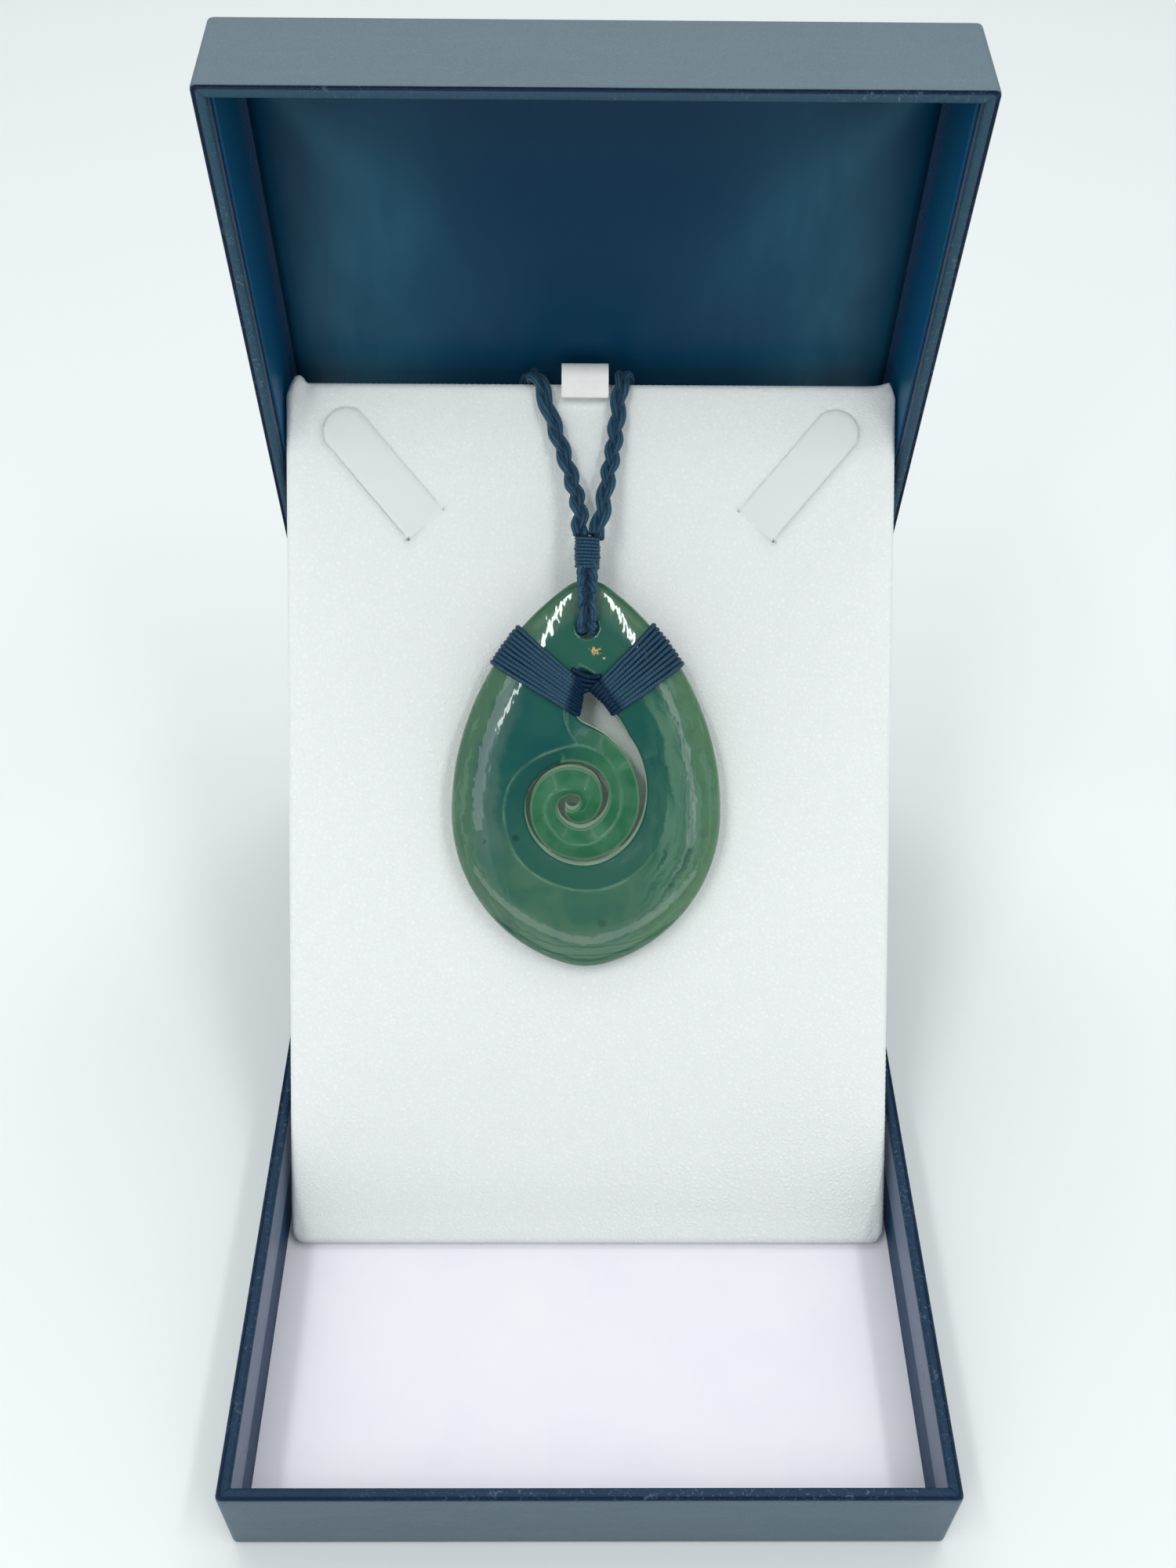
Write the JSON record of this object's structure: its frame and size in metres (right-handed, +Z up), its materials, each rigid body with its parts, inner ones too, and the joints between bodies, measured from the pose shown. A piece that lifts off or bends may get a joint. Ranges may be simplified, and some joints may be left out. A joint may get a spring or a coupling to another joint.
{
  "type": "koru pendant on a plaited cord with hinged presentation box",
  "caption": "Green stone koru pendant on a black plaited neck cord, lashed with thread, shown on the white pad of a hinged gift box with a dark satin-lined lid.",
  "frame": {"origin": "middle of the base's underside", "axes": "+X to the viewer's right, +Y from the base's front towards the hinge, +Z up"},
  "size_m": [0.1, 0.1565, 0.1572],
  "materials": {
    "green_stone": "polished, slightly see-through, with veins and small dark flecks",
    "plaited_cord": "three waxed strands, plaited, slight sheen",
    "waxed_thread": "fine waxed thread, slight sheen",
    "clasp_metal": "darkened, satin",
    "box_wrap": "fine-grained blue-black leatherette paper over board",
    "white_leatherette": "fine-grained, matte",
    "white_ribbon": "matte, with cut ends",
    "white_card": "matte",
    "dark_liner": "smooth, slight sheen",
    "dark_satin": "satin, soft sheen"
  },
  "bodies": {
    "base": {"base_shell": "box_wrap", "floor_card": "white_card", "hinge_cover": "box_wrap", "display_pad": "white_leatherette", "hanging_tab": "white_ribbon", "koru_pendant": "green_stone", "lashing_left": "waxed_thread", "lashing_right": "waxed_thread", "cord_whipping": "waxed_thread", "bail_cord": "plaited_cord", "neck_cord_left": "plaited_cord", "neck_cord_right": "plaited_cord", "cord_clasp": "clasp_metal"},
    "lid": {"lid_shell": "box_wrap", "lid_wall_lining": "dark_liner", "lid_satin_panel": "dark_satin"}
  },
  "joints": [
    {"name": "lid_hinge", "type": "hinge", "parent": "base", "child": "lid", "pos_m": [0, 0.0706, 0.01595], "axis": [-1, 0, 0], "range_deg": [0, 88]}
  ]
}
